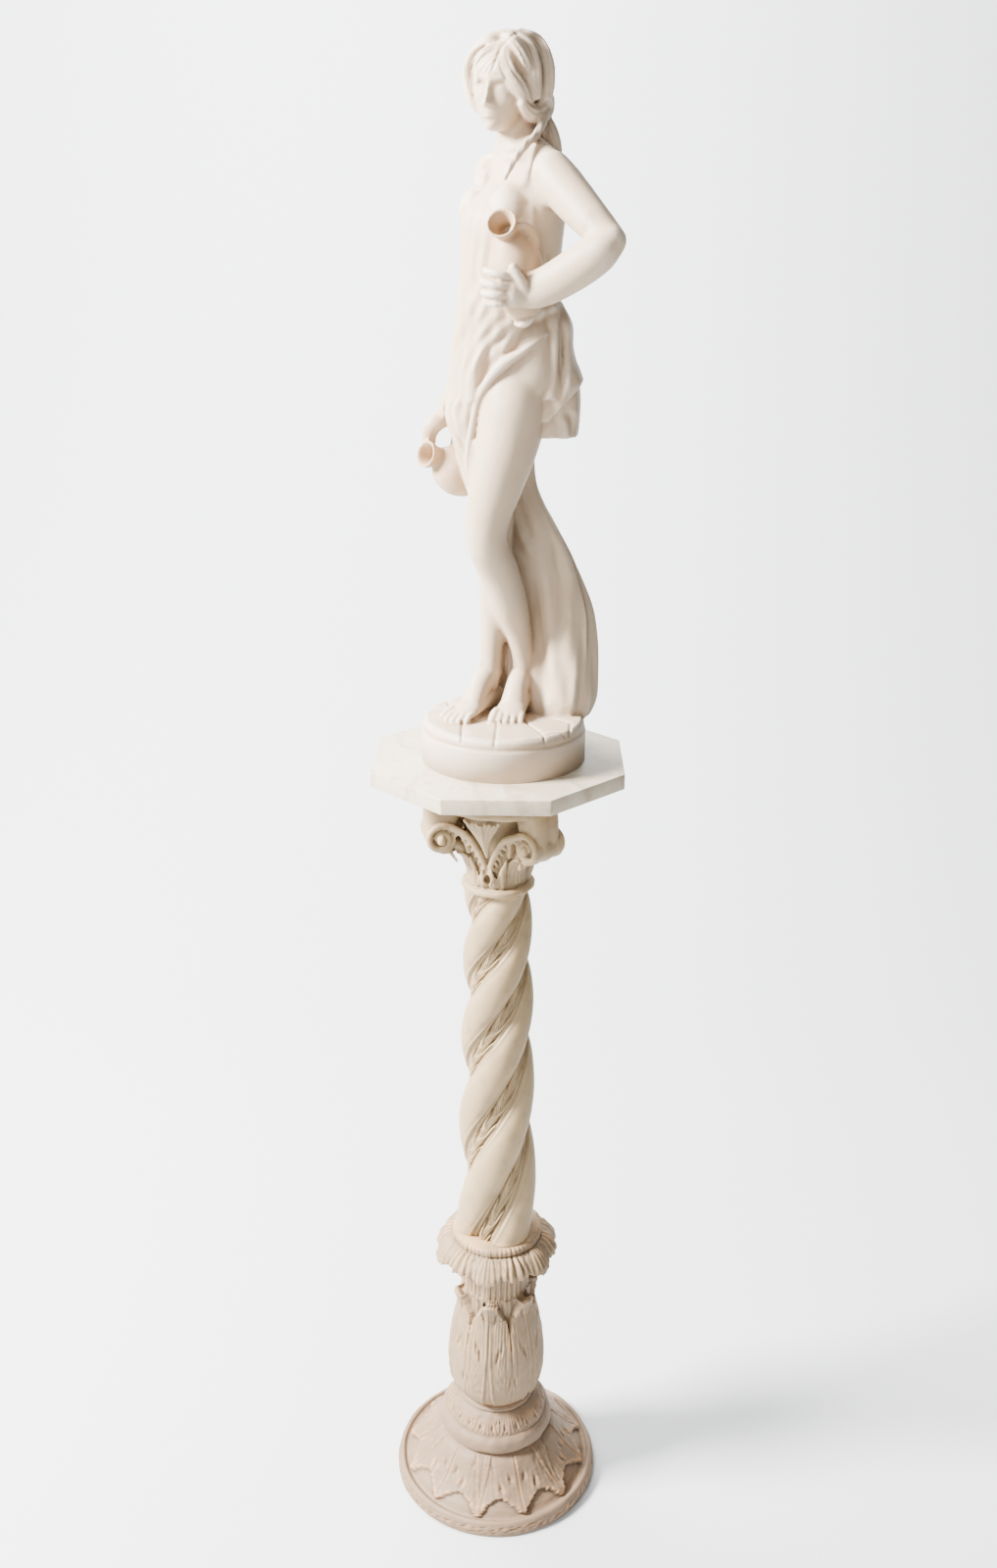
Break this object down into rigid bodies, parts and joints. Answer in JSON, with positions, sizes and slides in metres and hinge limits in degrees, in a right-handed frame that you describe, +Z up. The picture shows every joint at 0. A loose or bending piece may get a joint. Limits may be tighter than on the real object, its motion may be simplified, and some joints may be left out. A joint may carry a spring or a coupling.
{
  "type": "figure statue on column",
  "caption": "Cast resin statue of a draped woman carrying jugs, on a carved column with a twisted shaft, a scrolled capital and a marble top slab",
  "frame": {"origin": "middle of the foot's underside, on the column's axis", "axes": "+Z up along the column, -Y towards the viewer of the picture, +X to the viewer's right"},
  "size_m": [0.285, 0.285, 1.803],
  "materials": {
    "foot": "cast resin, pinkish tan with peach edges, matt",
    "vase_section": "cast resin, tan with darker hollows, matt",
    "twisted_shaft": "cast resin, yellowish beige with darker hollows, satin",
    "capital": "cast resin, yellowish beige with darker hollows, satin",
    "top_slab": "honed greyish cream marble with faint veins",
    "figure": "cast resin in the look of pale marble, rubbed with grey-brown, satin"
  },
  "bodies": {
    "root": {"foot": "foot", "vase_section": "vase_section", "twisted_shaft": "twisted_shaft", "capital": "capital", "top_slab": "top_slab", "figure": "figure"}
  },
  "joints": []
}
